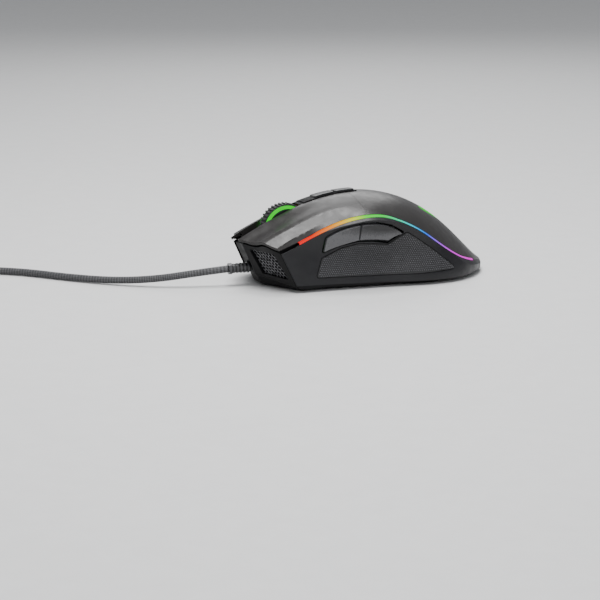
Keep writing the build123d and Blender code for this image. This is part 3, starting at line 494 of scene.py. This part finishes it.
def grip_dots(side, node, material):
    """Field of pips over a rubber grip, in staggered rows, clear of its edges and steps."""
    tree = hits(node)
    low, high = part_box(node)
    rows = int((high.z - low.z) / (DOT_PITCH * DOT_ROW))
    columns = int((high.y - low.y) / DOT_PITCH)
    verts = []
    faces = []

    def touch(y, z):
        return tree.ray_cast(Vector((side * 0.08, y, z)), Vector((-side, 0, 0)))

    def clear(x, y, z):
        for dy, dz in ((DOT_MARGIN, 0), (-DOT_MARGIN, 0), (0, DOT_MARGIN), (0, -DOT_MARGIN)):
            beside = touch(y + dy, z + dz)[0]
            if beside is None or abs(beside.x - x) > DOT_STEP:
                return False
        return True

    for row in range(rows):
        z = low.z + (row + 0.5) * DOT_PITCH * DOT_ROW
        for column in range(columns):
            y = low.y + (column + 0.5 * (row % 2) + 0.25) * DOT_PITCH
            spot, normal, _, _ = touch(y, z)
            if spot is not None and abs(normal.x) >= 0.5 and clear(spot.x, y, z):
                add_dot(verts, faces, spot, normal)
    new_piece(f"{node}_dots", verts, faces, material, node)


CELL_PITCH = 1.8 * MM
CELL_SIZE = CELL_PITCH / math.sqrt(3)
STRUT_HALF = 0.13 * MM
STRUT_SINK = 0.05 * MM
STRUT_HEIGHT = 0.3 * MM


def cell_corners(x, z):
    """Half of a honeycomb cell's outline; its neighbours give the rest."""
    turns = [math.radians(60 * turn) for turn in range(4)]
    return [(x + CELL_SIZE * math.sin(turn), z + CELL_SIZE * math.cos(turn)) for turn in turns]


def add_strut(verts, faces, start, end):
    """Square bar that stands on the surface between two touched points."""
    way = (end[0] - start[0]).normalized()
    ends = []
    for spot, normal, _, _ in (start, end):
        across = way.cross(normal).normalized() * STRUT_HALF
        sink = normal * STRUT_SINK
        rise = normal * STRUT_HEIGHT
        ends.append([spot - across - sink, spot - across + rise, spot + across + rise, spot + across - sink])
    add_tube(verts, faces, ends)


def mesh_ribs(node, material):
    """Honeycomb lattice standing on a grille panel."""
    tree = hits(node)
    low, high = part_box(node)
    rows = int((high.z - low.z) / (1.5 * CELL_SIZE)) + 2
    columns = int((high.x - low.x) / CELL_PITCH) + 2
    verts = []
    faces = []

    def touch(corner):
        return tree.ray_cast(Vector((corner[0], -0.09, corner[1])), Vector((0, 1, 0)))

    for row in range(rows):
        for column in range(columns):
            x = low.x + (column + 0.5 * (row % 2)) * CELL_PITCH
            z = low.z + row * 1.5 * CELL_SIZE
            touched = [touch(corner) for corner in cell_corners(x, z)]
            for start, end in zip(touched, touched[1:]):
                if any(hit[0] is None or hit[1].y > -0.25 for hit in (start, end)):
                    continue
                if (start[0] - end[0]).length <= CELL_PITCH:
                    add_strut(verts, faces, start, end)
    new_piece(f"{node}_lattice", verts, faces, material, node)


FILM_STEPS = 60
# The film's inner edge and width across the mouse, in mm.
FILM_START = 4.7
FILM_WIDTH = 24.3
FILM_REACH = 0.4 * MM
FILM_SINK = 0.02 * MM


def hinge_film(side, node, material):
    """Thin film that bridges the seam between a main button and the palm shell, just below the surface."""
    edges = [
        (hits(node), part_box(node)[1].y - FILM_REACH),
        (hits("palm_shell"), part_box("palm_shell")[0].y + FILM_REACH),
    ]
    verts = []
    for step in range(FILM_STEPS + 1):
        x = side * (FILM_START + FILM_WIDTH * step / FILM_STEPS) * MM
        touched = [tree.ray_cast(Vector((x, y, 0.08)), Vector((0, 0, -1))) for tree, y in edges]
        if all(hit[0] is not None and hit[1].z >= 0.1 for hit in touched):
            verts += [spot - normal * FILM_SINK for spot, normal, _, _ in touched]
    faces = [(index, index + 1, index + 3, index + 2) for index in range(0, len(verts) - 2, 2)]
    new_piece(f"{node}_film", verts, faces, material, "palm_shell", smooth=True)


# ---------------------------------------------------------------- stage
FLOOR_REACH = 14.0
SKY = (0.85, 0.87, 0.9, 1.0)
SKY_STRENGTH = 0.45
# Each lamp's name, place, size and power.
LAMPS = [
    ("key", (0.14, -0.18, 0.85), 0.45, 9.5),
    ("top", (-0.20, 0.10, 0.85), 0.30, 4.0),
    ("side", (0.95, -0.25, 0.40), 0.5, 3.5),
    ("back", (-0.75, 0.35, 0.60), 0.6, 3.0),
]
LAMP_AIM = Vector((0, 0, 0.02))


def make_floor():
    """Plain pale floor that reaches far behind."""
    mesh = bpy.data.meshes.new("floor")
    corners = [(x * FLOOR_REACH, y * FLOOR_REACH, 0) for x, y in ((-1, -1), (1, -1), (1, 1), (-1, 1))]
    mesh.from_pydata(corners, [], [(0, 1, 2, 3)])
    mesh.materials.append(surface("floor_pale", (0.62, 0.62, 0.62), 0.7, grain=600.0, spread=0.02).material)
    floor = bpy.data.objects.new("floor", mesh)
    bpy.context.scene.collection.objects.link(floor)


def make_light():
    """Soft studio light: an even sky and round lamps that face the part."""
    world = bpy.data.worlds.new("studio")
    world.use_nodes = True
    sky = world.node_tree.nodes["Background"].inputs
    sky["Color"].default_value = SKY
    sky["Strength"].default_value = SKY_STRENGTH
    bpy.context.scene.world = world
    for name, spot, size, power in LAMPS:
        lamp = bpy.data.objects.new(name, bpy.data.lights.new(name, "AREA"))
        lamp.data.shape = "DISK"
        lamp.data.size = size
        lamp.data.energy = power
        lamp.location = spot
        lamp.rotation_euler = (LAMP_AIM - Vector(spot)).to_track_quat("-Z", "Y").to_euler()
        bpy.context.scene.collection.objects.link(lamp)


# ---------------------------------------------------------------- the scene
make_camera()
cord = make_cord()
materials = make_materials()
cord.data.materials.append(materials["cord_braid"])
for node_name, slot_name in SLOT_OF.items():
    dress(node_name, materials[OWN_FINISH.get(node_name, slot_name)])
for side_sign, side_name in ((1, "left"), (-1, "right")):
    grip_dots(side_sign, f"{side_name}_grip", materials["grip_dots"])
    mesh_ribs(f"{side_name}_grille", materials["mesh_lattice"])
    hinge_film(side_sign, f"{side_name}_button", materials["soft_black"])
make_floor()
make_light()
